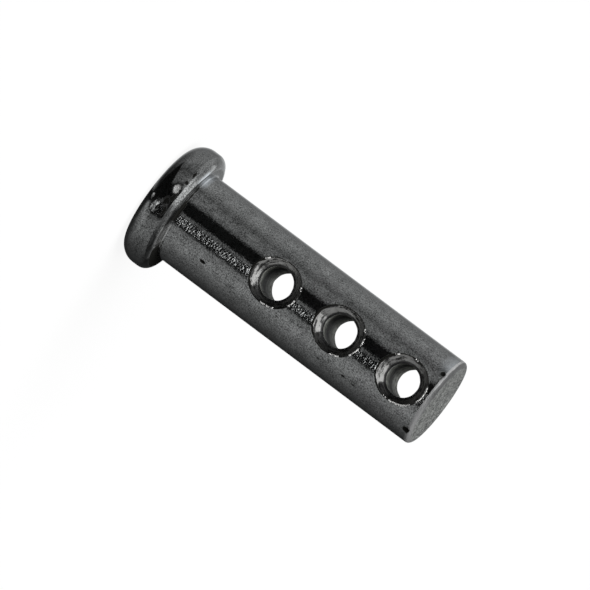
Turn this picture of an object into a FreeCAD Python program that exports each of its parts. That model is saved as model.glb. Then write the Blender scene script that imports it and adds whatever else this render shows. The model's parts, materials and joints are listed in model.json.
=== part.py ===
import FreeCAD, Part
import math
import os

# Clevis pin with a round flat head and three cotter holes, cold headed in one piece.
# The pin stands on its head: the outer face of the head lies in the plane z = 0 and
# the shaft rises along +Z. The cotter holes run along Y. Lengths are in millimetres.

# Shaft
shaft_diameter = 7.9        # fits a 5/16 inch clevis bore
end_edge_round = 0.36       # rounding of the edge at the free end

# Head
head_diameter = 11.0
head_thickness = 2.9
head_outer_round = 1.53     # rounding between the outer face and the rim
head_under_round = 0.85     # rounding between the rim and the underside
neck_fillet = 0.25          # fillet where the shaft leaves the underside

# Cotter holes
hole_count = 3
hole_diameter = 2.85
first_hole_distance = 9.6   # from the underside of the head to the first hole's axis
hole_pitch = 6.4            # from one hole's axis to the next
end_distance = 2.9          # from the last hole's axis to the end face

# Dished mouths of the cotter holes
mouth_length = 4.38         # length of the dish's outline along the shaft
mouth_ball_rise = 0.82      # height of the dishing ball's centre above the shaft's surface

# Places worked out from the sizes
shaft_radius = shaft_diameter / 2
head_radius = head_diameter / 2
hole_radius = hole_diameter / 2
underside_z = head_thickness
grip_length = first_hole_distance + (hole_count - 1) * hole_pitch + end_distance
end_z = underside_z + grip_length
# The ball meets the shaft's surface at the ends of the dish's outline.
mouth_ball_radius = math.hypot(mouth_length / 2, mouth_ball_rise)
mouth_ball_offset = shaft_radius + mouth_ball_rise

UP = FreeCAD.Vector(0, 0, 1)
ACROSS = FreeCAD.Vector(0, 1, 0)
ORIGIN = FreeCAD.Vector(0, 0, 0)


def point(radius, z):
    """A point of the turned outline, in the XZ plane."""
    return FreeCAD.Vector(radius, 0, z)


def line(start, end):
    """A straight edge of the outline."""
    return Part.LineSegment(start, end).toShape()


def corner_arc(centre, radius, start_degrees, end_degrees):
    """A rounded corner of the outline, with angles measured from +X towards +Z."""
    def on_arc(degrees):
        turn = math.radians(degrees)
        return centre + point(radius * math.cos(turn), radius * math.sin(turn))
    middle_degrees = (start_degrees + end_degrees) / 2
    return Part.Arc(on_arc(start_degrees), on_arc(middle_degrees), on_arc(end_degrees)).toShape()


def turned_outline():
    """Half section of the headed blank, from the centre of the head to the free end."""
    outer_centre = point(head_radius - head_outer_round, head_outer_round)
    under_centre = point(head_radius - head_under_round, underside_z - head_under_round)
    neck_centre = point(shaft_radius + neck_fillet, underside_z + neck_fillet)
    end_centre = point(shaft_radius - end_edge_round, end_z - end_edge_round)
    return Part.Wire([
        line(ORIGIN, point(outer_centre.x, 0)),
        corner_arc(outer_centre, head_outer_round, -90, 0),
        line(point(head_radius, outer_centre.z), point(head_radius, under_centre.z)),
        corner_arc(under_centre, head_under_round, 0, 90),
        line(point(under_centre.x, underside_z), point(neck_centre.x, underside_z)),
        corner_arc(neck_centre, neck_fillet, 270, 180),
        line(point(shaft_radius, neck_centre.z), point(shaft_radius, end_centre.z)),
        corner_arc(end_centre, end_edge_round, 0, 90),
        line(point(end_centre.x, end_z), point(0, end_z)),
        line(point(0, end_z), ORIGIN),
    ])


def headed_blank():
    """The pin before its holes: the outline turned once round the axis."""
    section = Part.Face(turned_outline())
    return section.revolve(ORIGIN, UP, 360)


def hole_heights():
    """Height of each hole's axis above the outer face of the head."""
    return [underside_z + first_hole_distance + i * hole_pitch for i in range(hole_count)]


def hole_cutter(z):
    """One cross hole, right through the shaft."""
    length = 2 * head_diameter
    start = FreeCAD.Vector(0, -length / 2, z)
    return Part.makeCylinder(hole_radius, length, start, ACROSS)


def mouth_cutter(z, side):
    """Ball that dishes one mouth of a cross hole. Below the dish it lies inside the hole."""
    return Part.makeSphere(mouth_ball_radius, FreeCAD.Vector(0, side * mouth_ball_offset, z))


def clevis_pin():
    """The finished pin, one solid."""
    pin = headed_blank()
    for z in hole_heights():
        pin = pin.cut(hole_cutter(z))
        for side in (-1, 1):
            pin = pin.cut(mouth_cutter(z, side))
    return pin


os.makedirs("parts", exist_ok=True)
shape = clevis_pin()
shape.exportStep("parts/clevis_pin.step")
print("solids", len(shape.Solids), "valid", shape.isValid(), "faces", len(shape.Faces))
print("volume in cubic mm", round(shape.Volume, 2))
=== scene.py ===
# %% [markdown]
# # A clevis pin
#
# A clevis pin is one piece of steel: a round head that stops it in the fork, a shaft
# that the fork turns on, and cross holes for the cotter that keeps it there. This
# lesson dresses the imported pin. The solid gives every size and place, and the skin
# made here follows it closely enough to be seen from a hand's width away.

import json
import math

import bmesh
import bpy
import numpy as np
from mathutils import Matrix, Vector, noise


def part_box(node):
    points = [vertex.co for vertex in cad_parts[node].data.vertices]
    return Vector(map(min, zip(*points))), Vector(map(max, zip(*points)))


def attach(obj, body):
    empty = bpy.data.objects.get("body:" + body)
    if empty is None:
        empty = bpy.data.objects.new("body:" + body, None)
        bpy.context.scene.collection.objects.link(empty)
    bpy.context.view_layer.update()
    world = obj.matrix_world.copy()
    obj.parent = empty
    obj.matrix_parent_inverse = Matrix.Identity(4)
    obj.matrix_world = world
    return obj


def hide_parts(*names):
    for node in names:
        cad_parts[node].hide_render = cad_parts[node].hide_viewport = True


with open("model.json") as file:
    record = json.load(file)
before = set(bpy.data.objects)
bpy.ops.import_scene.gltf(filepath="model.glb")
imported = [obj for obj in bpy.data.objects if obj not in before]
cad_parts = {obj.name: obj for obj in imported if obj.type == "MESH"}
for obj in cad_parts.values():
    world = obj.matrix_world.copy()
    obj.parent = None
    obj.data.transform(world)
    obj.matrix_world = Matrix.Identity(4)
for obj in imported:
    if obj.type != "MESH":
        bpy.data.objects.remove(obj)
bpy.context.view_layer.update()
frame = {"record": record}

# %% [markdown]
# ## Sizes that the solid gives
#
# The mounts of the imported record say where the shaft, the seat under the head and
# the holes are. Reading them here keeps the skin and the solid together: if the pin
# is packed again with another size, the skin follows.

# %% Read the sizes
MM = 0.001

mounts = {mount["name"]: mount for mount in frame["record"]["mounts"]}
low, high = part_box("clevis_pin")

SHAFT_RADIUS = mounts["shaft"]["dims"]["r_mm"]
SHAFT_WALL = mounts["shaft"]["dims"]["length_mm"]
HEAD_RADIUS = round((high.x - low.x) / 2 / MM, 2)
SEAT_Z = mounts["head_seat"]["pos_m"][2] / MM
END_Z = high.z / MM
HOLE_RADIUS = mounts["cotter_hole_1"]["dims"]["r_mm"]
HOLE_WALL = mounts["cotter_hole_1"]["dims"]["length_mm"]
HOLE_HEIGHTS = [mounts[name]["pos_m"][2] / MM for name in sorted(mounts) if "cotter" in name]

print(f"shaft radius {SHAFT_RADIUS} mm, head radius {HEAD_RADIUS} mm, length {END_Z:.2f} mm")
print("holes at", [round(z, 2) for z in HOLE_HEIGHTS], "mm")

# %% [markdown]
# The mounts don't give the roundings, so they are written here as the source has
# them. Two sizes are this pin's own: its neck is sharper than it was drawn, and its
# holes were drilled a little beside the axis. The dish at each mouth is a cap of a ball
# whose centre lies a little outside the shaft. Its outline on the shaft, and the circle
# where it runs into the hole, fix the ball between them.

# %% Sizes of the roundings and of the dished mouths
HEAD_OUTER_ROUND = 1.53
HEAD_UNDER_ROUND = 0.85
NECK_FILLET = 0.25
END_EDGE_ROUND = END_Z - SEAT_Z - NECK_FILLET - SHAFT_WALL
SHARP_FILLET = 0.10                   # this pin's own neck
HOLE_ASIDES = [-0.070, -0.030, 0.100]  # this pin's own holes, to the right of the axis
MOUTH_HALF_LENGTH = 2.19
MOUTH_BALL_RISE = 0.82

MOUTH_BALL_OFFSET = SHAFT_RADIUS + MOUTH_BALL_RISE
MOUTH_BALL_RADIUS = math.hypot(MOUTH_HALF_LENGTH, MOUTH_BALL_RISE)
print(f"end rounding {END_EDGE_ROUND:.2f} mm, dishing ball {MOUTH_BALL_RADIUS:.3f} mm")

# %% [markdown]
# ## The camera
#
# The pin stands on its head, and the picture shows it lying across the frame. So the
# camera looks along the bench, a little downwards, and is rolled until the shaft
# points to the lower right. The edges of the shaft are parallel in the picture, which
# means a long lens from far away.

# %% Place the camera
SHAFT_SLOPE = math.radians(36.8)      # of the shaft in the picture, below the level
CAMERA_TILT = math.radians(10.5)      # downwards, towards the bench
CAMERA_SWING = math.radians(-1.13)    # round the shaft
FRAME_WIDTH = 46.97                   # what the picture's width shows at the pin
LENS = 800.0
SENSOR = 36.0
SEAT_CENTRE_IN_PICTURE = (187.4, 216.75)
PICTURE_SIZE = 590


def camera_axes():
    """Right, down and forward of the camera, as unit vectors."""
    slope, tilt = SHAFT_SLOPE, CAMERA_TILT
    right = Vector((-math.sin(slope), math.sin(tilt) * math.cos(slope), math.cos(slope) * math.cos(tilt)))
    down = Vector((math.cos(slope), math.sin(tilt) * math.sin(slope), math.sin(slope) * math.cos(tilt)))
    forward = Vector((0, math.cos(tilt), -math.sin(tilt)))
    swing = Matrix.Rotation(CAMERA_SWING, 3, "Z")
    return swing @ right, swing @ down, swing @ forward


def place_camera():
    """A camera whose picture shows the seat's centre where it was measured."""
    right, down, forward = camera_axes()
    pixel = FRAME_WIDTH / PICTURE_SIZE
    aside = PICTURE_SIZE / 2 - SEAT_CENTRE_IN_PICTURE[0]
    below = PICTURE_SIZE / 2 - SEAT_CENTRE_IN_PICTURE[1]
    middle = Vector((0, 0, SEAT_Z)) + pixel * (right * aside + down * below)
    distance = FRAME_WIDTH * LENS / SENSOR
    data = bpy.data.cameras.new("camera")
    data.lens = LENS
    data.sensor_width = SENSOR
    data.clip_start = 0.01
    data.clip_end = 5.0
    camera = bpy.data.objects.new("camera", data)
    turn = Matrix((right, -down, -forward)).transposed().to_4x4()
    camera.matrix_world = Matrix.Translation((middle - forward * distance) * MM) @ turn
    bpy.context.scene.collection.objects.link(camera)
    bpy.context.scene.camera = camera
    print("camera stands", round(distance), "mm away")


place_camera()

# %% [markdown]
# ## Small helpers for node trees
#
# Materials, the world and Geometry Nodes are all trees of nodes. A few helpers keep the
# cells below short. The first two add a node and set each input, either to a value or
# to another node's output. The others are the sums, ramps and blends that return again
# and again.

# %% Node helpers


def set_inputs(tree, node, inputs):
    """Sets a node's inputs to numbers, colours or other nodes' outputs."""
    for key, value in inputs.items():
        if isinstance(value, bpy.types.NodeSocket):
            tree.links.new(value, node.inputs[key])
        else:
            node.inputs[key].default_value = value


def add_node(tree, kind, inputs=None, **fields):
    """A new node with its fields and its inputs set."""
    made = tree.nodes.new(kind)
    for field, value in fields.items():
        setattr(made, field, value)
    set_inputs(tree, made, inputs or {})
    return made


def result(tree, kind, inputs=None, **fields):
    """The first output of a new node."""
    return add_node(tree, kind, inputs, **fields).outputs[0]


def maths(tree, operation, *values):
    """The result of one Math node."""
    return result(tree, "ShaderNodeMath", dict(enumerate(values)), operation=operation)


def times(tree, first, *others):
    """The product of two or more values."""
    for other in others:
        first = maths(tree, "MULTIPLY", first, other)
    return first


def split(tree, vector):
    """The x, y and z of a vector."""
    return add_node(tree, "ShaderNodeSeparateXYZ", {0: vector}).outputs


def remap(tree, value, edges, new=(0, 1), kind="LINEAR"):
    """The value carried from one range to another, held at the ends."""
    made = add_node(tree, "ShaderNodeMapRange", {
        "Value": value, "From Min": edges[0], "From Max": edges[1], "To Min": new[0], "To Max": new[1]},
        interpolation_type=kind)
    return made.outputs["Result"]


def between(tree, value, edges):
    """0 below the first edge, 1 above the second, smooth in between."""
    return remap(tree, value, edges, kind="SMOOTHSTEP")


def mix_tones(tree, share, first, second):
    """The first tone where the share is 0, the second where it is 1."""
    return result(tree, "ShaderNodeMix", {0: share, 2: first, 3: second})


def blend_colours(tree, share, first, second, kind="MIX"):
    """The first colour where the share is 0, the second, or their product, where it is 1."""
    def as_input(colour):
        return (*colour, 1) if isinstance(colour, tuple) else colour
    return add_node(tree, "ShaderNodeMix", {0: share, 6: as_input(first), 7: as_input(second)},
                    data_type="RGBA", blend_type=kind).outputs[2]


def ramp(tree, factor, stops):
    """A colour ramp from (position, grey or colour) stops."""
    made = add_node(tree, "ShaderNodeValToRGB", {0: factor})
    elements = made.color_ramp.elements
    while len(elements) < len(stops):
        elements.new(1.0)
    for element, (position, tone) in zip(elements, stops):
        element.position = position
        element.color = (tone, tone, tone, 1) if isinstance(tone, float) else (*tone, 1)
    return made.outputs[0]


# %% [markdown]
# ## The bench
#
# The pin stands on a plain white bench. For the camera the bench is white by its own
# colour, and a part of it is an ordinary matt surface, which keeps the pin's shadow.
# The plating mirrors the tent round the pin, so the bench isn't seen in it.

# %% Make the bench
BENCH_HALF_SIZE = 0.6
BENCH_SHADOW_SHARE = 0.10
BENCH_MATT_TONE = 0.9


def bench_material():
    """White, with a share of matt surface that takes the shadow."""
    material = bpy.data.materials.new("bench_white")
    material.use_nodes = True
    tree = material.node_tree
    tree.nodes.clear()
    glow = add_node(tree, "ShaderNodeEmission", {"Color": (1, 1, 1, 1), "Strength": 1.0})
    matt = add_node(tree, "ShaderNodeBsdfDiffuse", {"Color": (BENCH_MATT_TONE,) * 3 + (1,)})
    path = add_node(tree, "ShaderNodeLightPath")
    share = mix_tones(tree, path.outputs["Is Camera Ray"], 1.0, BENCH_SHADOW_SHARE)
    mix = add_node(tree, "ShaderNodeMixShader", {0: share, 1: glow.outputs[0], 2: matt.outputs[0]})
    add_node(tree, "ShaderNodeOutputMaterial", {"Surface": mix.outputs[0]})
    return material


def make_bench():
    """A large flat sheet at the height of the head's outer face."""
    mesh = bpy.data.meshes.new("bench")
    s = BENCH_HALF_SIZE
    mesh.from_pydata([(-s, -s, 0), (s, -s, 0), (s, s, 0), (-s, s, 0)], [], [(0, 1, 2, 3)])
    bench = bpy.data.objects.new("bench", mesh)
    bpy.context.scene.collection.objects.link(bench)
    mesh.materials.append(bench_material())
    bench.visible_glossy = False
    bench.visible_diffuse = False
    print("bench is", 2 * BENCH_HALF_SIZE, "m wide")


make_bench()

# %% [markdown]
# ## The light tent
#
# Bright metal has hardly a colour of its own: it shows what stands round it. The
# picture was taken in a white tent with a dark slit for the camera. The slit makes the
# black stripe along the shaft, and the tent's two walls make the grey bands beside it.
# So the world holds a tent: a ring of tones round the pin, a floor, a back wall and a
# roof window. Only mirrored rays see them. To the camera the world is plain white.

# %% Tones of the tent
# Each pair is an angle round the pin, in degrees from the camera's side, and a tone.
WALL_RING = [
    (-180, 0.03), (-148, 0.05), (-125, 0.18), (-107, 0.38), (-93, 0.56), (-80, 0.76),
    (-69, 1.00), (-58, 1.08), (-47, 0.94), (-36, 0.78), (-33, 0.70), (-29.5, 0.06),
    (-5.5, 0.06), (2.2, 0.03), (30, 0.03), (34, 0.43), (38, 0.60), (50, 0.73),
    (60, 0.66), (69, 0.47), (80, 0.73), (93, 1.00), (107, 1.04), (125, 0.83),
    (150, 0.38), (165, 0.55), (180, 0.60),
]
ROOF_RING = [
    (-180, 0.80), (-157, 0.30), (-142, 0.12), (-112, 0.10), (-97, 0.18), (-67, 0.40),
    (-37, 0.60), (-4, 0.60), (14, 3.40), (58, 3.60), (80, 1.60), (97, 1.20),
    (127, 1.50), (145, 1.90), (168, 2.00), (180, 0.80),
]
TOP_LEFT_TONE = 3.2
TOP_RIGHT_TONE = 0.9
BACK_TONE = 0.60
LEFT_WALL_SHARE = 1.5                 # of the ring's tone, on the left above the level
LEFT_FLOOR_SHARE = 0.15               # and towards the floor
RIGHT_FLOOR_SHARE = 1.6
# Where a third number is given, it says how soft the edges are.
LINE_ROUND = (-5.5, 2.2, 0.8)         # a thin light gap in the slit, below the level
LINE_TONE = 0.60
SLIT_LIGHTS_ROUND = (-26.0, -7.0, 1.0)            # degrees round the pin of the slit's small lights
SLIT_LIGHTS_RISE = (math.sin(math.radians(-44.0)), math.sin(math.radians(-14.8)), 0.01)
SLIT_LIGHT_TONE = 6.8
LOW_LIGHT_TONE = 1.6                  # of their lower part
STAND_ASIDE = (-1.10, 0.26, 0.2)      # the camera's dark track on the floor, in its drop
LEAST_DROP = 0.1                      # keeps the track from spreading near the level
STAND_TONE = 0.03
TENT_TINT = (0.970, 0.99, 1.00)       # the tent's cloth is a little cool
MATT_FILL = 0.25                      # light from above for matt surfaces
MATT_FLOOR = 0.08                     # and from below

# %% [markdown]
# The direction of the ray says which part of the tent it meets. The edges below are
# parts of the ray's direction: x to the right of the camera, y away from it and z up,
# which is the sine of the angle above the level.

# %% Hang the tent
LEFT_FLOOR_EDGE = (-0.45, -1.00)
RIGHT_FLOOR_EDGE = (-0.30, -0.70)
SIDE_EDGE = (-0.15, 0.15)
LEVEL_EDGE = (-0.10, 0.08)
LINE_EDGE = (-0.06, -0.12)
LOW_LIGHT_EDGE = (-0.46, -0.38)
STAND_EDGE = (-0.22, -0.30)
STAND_BACK_EDGE = (0.25, 0.05)
ROOF_EDGE = (0.46, 0.50)
TOP_EDGE = (0.82, 0.90)
TOP_SIDE_EDGE = (-0.20, 0.15)
BACK_WALL_EDGE = (0.55, 0.90)
BACK_WALL_FOOT = (0.0, 0.12)
BACK_WALL_SIDE_EDGE = (0.10, -0.05)
MATT_FILL_EDGE = (-0.15, 0.15)


def inside(tree, value, low_edge, high_edge, softness):
    """1 between the two edges, 0 outside them."""
    return times(tree, between(tree, value, (low_edge, low_edge + softness)),
                 between(tree, value, (high_edge, high_edge - softness)))


def turn_share(tree, across, ahead):
    """The direction of two lengths, as a share of a turn: a half is straight ahead."""
    angle = maths(tree, "ARCTAN2", maths(tree, "MULTIPLY", across, -1.0), ahead)
    return maths(tree, "MULTIPLY_ADD", angle, 1 / (2 * math.pi), 0.5)


def ring_tone(tree, turn, ring):
    """The tone of a ring at a share of a turn. The ring holds (degrees, tone) pairs."""
    return ramp(tree, turn, [(angle / 360 + 0.5, float(tone)) for angle, tone in ring])


def side_shares(tree, x, z):
    """How much lighter or darker than its ring each side of the tent is, at a height."""
    left = mix_tones(tree, between(tree, z, LEFT_FLOOR_EDGE), 1.0, LEFT_FLOOR_SHARE)
    left = times(tree, left, mix_tones(tree, between(tree, z, LEVEL_EDGE), 1.0, LEFT_WALL_SHARE))
    right = mix_tones(tree, between(tree, z, RIGHT_FLOOR_EDGE), 1.0, RIGHT_FLOOR_SHARE)
    return mix_tones(tree, between(tree, x, SIDE_EDGE), left, right)


def tent_tone(tree, direction):
    """The tone that a mirrored ray meets in the tent."""
    x, y, z = split(tree, direction)
    turn = turn_share(tree, x, times(tree, y, -1.0))
    degrees = maths(tree, "MULTIPLY_ADD", turn, 360.0, -180.0)

    wall = times(tree, ring_tone(tree, turn, WALL_RING), side_shares(tree, x, z))
    line = times(tree, inside(tree, degrees, *LINE_ROUND), between(tree, z, LINE_EDGE))
    wall = mix_tones(tree, line, wall, LINE_TONE)
    behind = times(tree, between(tree, y, BACK_WALL_EDGE), between(tree, z, BACK_WALL_FOOT),
                   between(tree, x, BACK_WALL_SIDE_EDGE))
    wall = mix_tones(tree, behind, wall, BACK_TONE)

    below = maths(tree, "MAXIMUM", times(tree, z, -1.0), LEAST_DROP)
    stand = times(tree, inside(tree, maths(tree, "DIVIDE", x, below), *STAND_ASIDE),
                  between(tree, z, STAND_EDGE), between(tree, y, STAND_BACK_EDGE))
    wall = mix_tones(tree, stand, wall, STAND_TONE)
    lights = times(tree, inside(tree, degrees, *SLIT_LIGHTS_ROUND), inside(tree, z, *SLIT_LIGHTS_RISE))
    light_tone = mix_tones(tree, between(tree, z, LOW_LIGHT_EDGE), LOW_LIGHT_TONE, SLIT_LIGHT_TONE)
    wall = mix_tones(tree, lights, wall, light_tone)

    top = mix_tones(tree, between(tree, x, TOP_SIDE_EDGE), TOP_LEFT_TONE, TOP_RIGHT_TONE)
    roof = mix_tones(tree, between(tree, z, TOP_EDGE), ring_tone(tree, turn, ROOF_RING), top)
    return mix_tones(tree, between(tree, z, ROOF_EDGE), wall, roof)


def hang_tent():
    """The world: white to the camera, a tent with a dark slit to mirrored rays."""
    world = bpy.data.worlds.new("light_tent")
    bpy.context.scene.world = world
    world.use_nodes = True
    tree = world.node_tree
    tree.nodes.clear()
    direction = add_node(tree, "ShaderNodeTexCoord").outputs["Generated"]
    tent = tent_tone(tree, direction)
    path = add_node(tree, "ShaderNodeLightPath")
    mirrored = maths(tree, "MAXIMUM", path.outputs["Is Glossy Ray"], path.outputs["Is Transmission Ray"])
    above = between(tree, split(tree, direction)[2], MATT_FILL_EDGE)
    fill = mix_tones(tree, above, MATT_FLOOR, MATT_FILL)
    filled = mix_tones(tree, path.outputs["Is Camera Ray"], fill, 1.0)
    tint = blend_colours(tree, mirrored, (1.0, 1.0, 1.0), TENT_TINT)
    background = add_node(tree, "ShaderNodeBackground", {
        "Color": tint, "Strength": mix_tones(tree, mirrored, filled, tent)})
    add_node(tree, "ShaderNodeOutputWorld", {"Surface": background.outputs[0]})


hang_tent()

# %% [markdown]
# A wide sun gives the bench its soft shadow. It leaves the mirrored light to the tent.

# %% Hang the sun
SUN_ROUND = math.radians(48)          # round the pin, from the camera's side
SUN_RISE = math.radians(60)
SUN_WIDTH = math.radians(50)
SUN_STRENGTH = 3.4


def hang_sun():
    """A sun that shines down on the bench from the left of the camera."""
    away = Vector((-math.sin(SUN_ROUND) * math.cos(SUN_RISE),
                   -math.cos(SUN_ROUND) * math.cos(SUN_RISE), math.sin(SUN_RISE)))
    data = bpy.data.lights.new("soft_sun", "SUN")
    data.energy = SUN_STRENGTH
    data.angle = SUN_WIDTH
    sun = bpy.data.objects.new("soft_sun", data)
    sun.rotation_mode = "QUATERNION"
    sun.rotation_quaternion = away.to_track_quat("Z", "Y")
    sun.visible_glossy = False
    bpy.context.scene.collection.objects.link(sun)


hang_sun()
bpy.context.scene.view_settings.view_transform = "Standard"
matt_white = MATT_FILL + SUN_STRENGTH * math.sin(SUN_RISE) / math.pi
print(f"a level white sheet would show {matt_white:.2f}")

# %% [markdown]
# ## The pin's skin
#
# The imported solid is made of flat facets, and a mirror finish would show each of them.
# A fine solid whose holes are cut with a boolean has the same trouble, because the cut
# leaves long thin triangles round the mouths. So the skin is built as a fine mesh of
# four-sided faces, in patches: the turned surface of the head and the end, the shaft's
# wall with a square window round each mouth, a ring of faces from each window to the
# mouth's outline, the dish, and the hole's wall. Each patch is a grid of points, and
# the seams are joined at the end.

# %% The turned outline
COLUMNS = 192                         # faces round the shaft
ROW_HEIGHT = 0.123                    # of the shaft's faces, about as wide as they are
END_BAND = 0.05                       # the tumbled finish of the end reaches this far down the wall
FACE_STEPS = 14                       # faces from the middle of a flat face to its edge
OUTER_ROUND_STEPS = 22                # and along each of the other stretches
UNDER_ROUND_STEPS = 16
NECK_STEPS = 6
EDGE_STEPS = 8
SHORT_STEPS = 5


def arc(centre, radius, start, end, steps):
    """Points of an arc in (radius, height), angles in degrees from outwards to upwards."""
    turns = np.radians(np.linspace(start, end, steps + 1))
    return np.stack([centre[0] + radius * np.cos(turns), centre[1] + radius * np.sin(turns)], 1)


def straight(start, end, steps):
    """Points of a straight stretch in (radius, height)."""
    return np.linspace(start, end, steps + 1)


def join(*stretches):
    """One outline from stretches that meet end to end."""
    return np.concatenate([stretches[0]] + [stretch[1:] for stretch in stretches[1:]])


def head_outline():
    """From the centre of the outer face round the rim to the foot of the shaft."""
    outer = (HEAD_RADIUS - HEAD_OUTER_ROUND, HEAD_OUTER_ROUND)
    under = (HEAD_RADIUS - HEAD_UNDER_ROUND, SEAT_Z - HEAD_UNDER_ROUND)
    neck = (SHAFT_RADIUS + SHARP_FILLET, SEAT_Z + SHARP_FILLET)
    return join(
        straight((0, 0), (outer[0], 0), FACE_STEPS),
        arc(outer, HEAD_OUTER_ROUND, -90, 0, OUTER_ROUND_STEPS),
        straight((HEAD_RADIUS, outer[1]), (HEAD_RADIUS, under[1]), SHORT_STEPS),
        arc(under, HEAD_UNDER_ROUND, 0, 90, UNDER_ROUND_STEPS),
        straight((under[0], SEAT_Z), (neck[0], SEAT_Z), SHORT_STEPS),
        arc(neck, SHARP_FILLET, 270, 180, NECK_STEPS),
    )


def end_outline():
    """From the top of the shaft's wall over its rounded edge to the end face's centre."""
    edge = (SHAFT_RADIUS - END_EDGE_ROUND, END_Z - END_EDGE_ROUND)
    band = straight((SHAFT_RADIUS, edge[1] - END_BAND), (SHAFT_RADIUS, edge[1]), 1)
    face = straight((edge[0], END_Z), (0, END_Z), FACE_STEPS)
    return join(band, arc(edge, END_EDGE_ROUND, 0, 90, EDGE_STEPS), face)


def turned(outline):
    """The outline turned once round the axis, as a grid of points."""
    around = np.linspace(0, 2 * math.pi, COLUMNS + 1)
    radius, height = outline[:, :1], outline[:, 1:]
    return np.stack([radius * np.sin(around), -radius * np.cos(around), height + 0 * around], -1)


print("head outline has", len(head_outline()), "points")

# %% [markdown]
# A mouth is drawn on the shaft's wall as if the wall were unrolled. There, the outline
# of the dish is an oval whose half width at each height follows from the ball and the
# shaft. From each point on the edge of the window a straight line runs to the hole's
# axis, and where it crosses the oval a point is set on it.

# %% The oval of a mouth and its window
WINDOW_COLUMNS = 20                   # from the middle of the mouth to the window's side
WINDOW_ROWS = 20
WINDOW_HALF_HEIGHT = 2.45
WINDOW_RINGS = 10
WINDOW_CROWD = 1.6                    # over 1 packs the rings near the mouth
DISH_RINGS = 13
HOLE_RINGS = 20
HALVINGS = 50

WINDOW_HALF_WIDTH = 2 * math.pi * SHAFT_RADIUS * WINDOW_COLUMNS / COLUMNS


def oval_excess(along, up, aside):
    """Over 0 outside the oval, for a point of the unrolled wall and a hole that lies aside."""
    y = SHAFT_RADIUS * np.cos(along / SHAFT_RADIUS)
    x = SHAFT_RADIUS * np.sin(along / SHAFT_RADIUS) - aside
    return x ** 2 + (MOUTH_BALL_OFFSET - y) ** 2 + up ** 2 - MOUTH_BALL_RADIUS ** 2


def window_edge():
    """Points on the window's four sides, in order, each side with its first corner."""
    w, h = WINDOW_HALF_WIDTH, WINDOW_HALF_HEIGHT
    across = np.linspace(-w, w, 2 * WINDOW_COLUMNS + 1)[:-1]
    upward = np.linspace(-h, h, 2 * WINDOW_ROWS + 1)[:-1]
    bottom = np.stack([across, np.full_like(across, -h)], 1)
    right = np.stack([np.full_like(upward, w), upward], 1)
    return np.concatenate([bottom, right, -bottom, -right, bottom[:1]])


def oval_points(edge, aside):
    """Where the lines from the window's edge to the hole's axis cross the oval, by halving."""
    start = np.array([aside, 0.0])
    inner, outer = np.zeros(len(edge)), np.ones(len(edge))
    for _ in range(HALVINGS):
        middle = (inner + outer) / 2
        tried = start + (edge - start) * middle[:, None]
        out = oval_excess(tried[:, 0], tried[:, 1], aside) > 0
        outer = np.where(out, middle, outer)
        inner = np.where(out, inner, middle)
    return tried


edge_points = window_edge()
mouth_points = oval_points(edge_points, 0.0)
half_across = np.ptp(mouth_points[:, 0]) / 2 / SHAFT_RADIUS
print(f"mouth outline {np.ptp(mouth_points[:, 1]):.2f} mm long, "
      f"{2 * SHAFT_RADIUS * math.sin(half_across):.2f} mm across")

# %% [markdown]
# The dish and the hole follow from the same points. Each point of the oval lies at some
# angle round the hole's axis, and keeps it down the ball and through the hole, so the
# rings of both mouths meet in the middle without a step.

# %% Patches of one hole


def on_shaft(along, up, lift=0.0):
    """Points of the wall on the camera's side, from places on the unrolled wall."""
    radius = SHAFT_RADIUS + lift
    angle, up, radius = np.broadcast_arrays(along / SHAFT_RADIUS, up, radius)
    return np.stack([radius * np.sin(angle), -radius * np.cos(angle), up], -1)


def spread(start, end, rings, crowd=1.0):
    """Grid of points from start to end. A crowd over 1 packs the rings near the start."""
    share = np.linspace(0, 1, rings + 1)[:, None, None] ** crowd
    return start + (end - start) * share


def window_patch(aside):
    """The wall between a mouth's oval and its window's edge."""
    oval = oval_points(edge_points, aside)
    flat = spread(oval[None], edge_points[None], WINDOW_RINGS, crowd=WINDOW_CROWD)
    return on_shaft(flat[..., 0], flat[..., 1])


def dish_patch(aside):
    """The ball's cap between the oval and the hole."""
    oval = oval_points(edge_points, aside)
    rim = on_shaft(oval[:, 0], oval[:, 1]) - [aside, 0, 0]
    angle = np.arctan2(rim[:, 2], rim[:, 0])
    rim_slope = np.arcsin(np.hypot(rim[:, 0], rim[:, 2]) / MOUTH_BALL_RADIUS)
    hole_slope = np.full_like(rim_slope, math.asin(HOLE_RADIUS / MOUTH_BALL_RADIUS))
    slope = spread(rim_slope[None, :, None], hole_slope[None, :, None], DISH_RINGS)[..., 0]
    out = MOUTH_BALL_RADIUS * np.sin(slope)
    depth = -MOUTH_BALL_OFFSET + MOUTH_BALL_RADIUS * np.cos(slope)
    return np.stack([aside + out * np.cos(angle), depth, out * np.sin(angle)], -1)


def hole_patch(aside):
    """The hole's wall from one dish to the other."""
    near = dish_patch(aside)[-1]
    return spread(near[None], (near * [1, -1, 1])[None], HOLE_RINGS)


def hole_patches(height, aside):
    """All the patches of one hole, each with its zone."""
    near_side = [("plating", window_patch(aside)), ("dish", dish_patch(aside))]
    far_side = [(zone, patch * [1, -1, 1]) for zone, patch in near_side]
    patches = near_side + far_side + [("bore", hole_patch(aside))]
    return [(zone, patch + [0, 0, height]) for zone, patch in patches]


BORE_END = float(-dish_patch(0.0)[-1, 0, 1])
print("one hole has", len(hole_patches(0.0, 0.0)), "patches")
print("its wall ends", round(BORE_END, 2), "mm from the axis")

# %% [markdown]
# The rest of the shaft's wall is a plain grid. Its rows are laid so that the windows
# begin and end on a row, and the faces inside the windows are left out.

# %% Patches of the shaft's wall


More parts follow.
